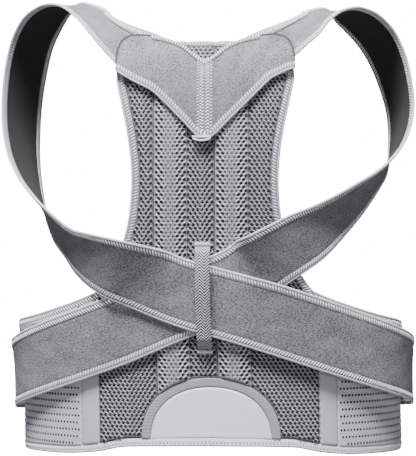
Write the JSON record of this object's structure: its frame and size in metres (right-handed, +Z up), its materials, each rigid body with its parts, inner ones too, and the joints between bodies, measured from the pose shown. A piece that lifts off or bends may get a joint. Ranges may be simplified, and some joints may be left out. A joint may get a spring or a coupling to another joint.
{
  "type": "posture corrector",
  "caption": "Back brace with a curved mesh back panel and waist belt, a winged yoke, and wide straps that loop the shoulders and cross on the back under a keeper.",
  "frame": {"origin": "on the axis of the wearer's trunk at the waistline, 65 mm above the hem at the middle of the back", "axes": "+Z up the trunk, -Y out of the back panel, +X to the right as seen from behind"},
  "size_m": [0.4213, 0.2596, 0.4493],
  "materials": {
    "mesh": "light grey polyester air mesh with small round holes",
    "felt": "mid grey brushed loop fabric, matt",
    "tape": "light grey folded edge tape, overlocked",
    "webbing": "grey woven webbing",
    "elastic": "light grey perforated elastic",
    "cloth": "plain grey cloth",
    "patch": "pale blue-grey smooth coated patch, bare",
    "hook": "dark hook tape"
  },
  "bodies": {
    "root": {"back_panel": "mesh", "panel_tape_left": "tape", "panel_tape_right": "tape", "stay_pocket_left": "mesh", "stay_pocket_right": "mesh", "yoke_wing_left": "felt", "yoke_edge_tape_left": "tape", "yoke_centre_tape_left": "tape", "yoke_wing_right": "felt", "yoke_edge_tape_right": "tape", "yoke_centre_tape_right": "tape", "yoke_tip_tab": "tape", "strap_shoulder_left": "felt", "strap_underarm_left": "felt", "strap_waist_left": "felt", "strap_outer_tape_left": "tape", "strap_inner_tape_left": "tape", "strap_shoulder_right": "felt", "strap_underarm_right": "felt", "strap_waist_right": "felt", "strap_outer_tape_right": "tape", "strap_inner_tape_right": "tape", "strap_pad_left": "hook", "strap_pad_right": "hook", "keeper_webbing": "webbing", "keeper_tack_top": "webbing", "keeper_tack_bottom": "webbing", "lumbar_patch": "patch", "patch_border": "cloth", "belt_strip_left": "cloth", "belt_elastic_left": "elastic", "belt_top_tape_left": "tape", "belt_strip_right": "cloth", "belt_elastic_right": "elastic", "belt_top_tape_right": "tape", "belt_front_left": "cloth", "belt_front_right": "cloth", "front_hook_pad": "hook", "hem_tape": "tape"}
  },
  "joints": []
}
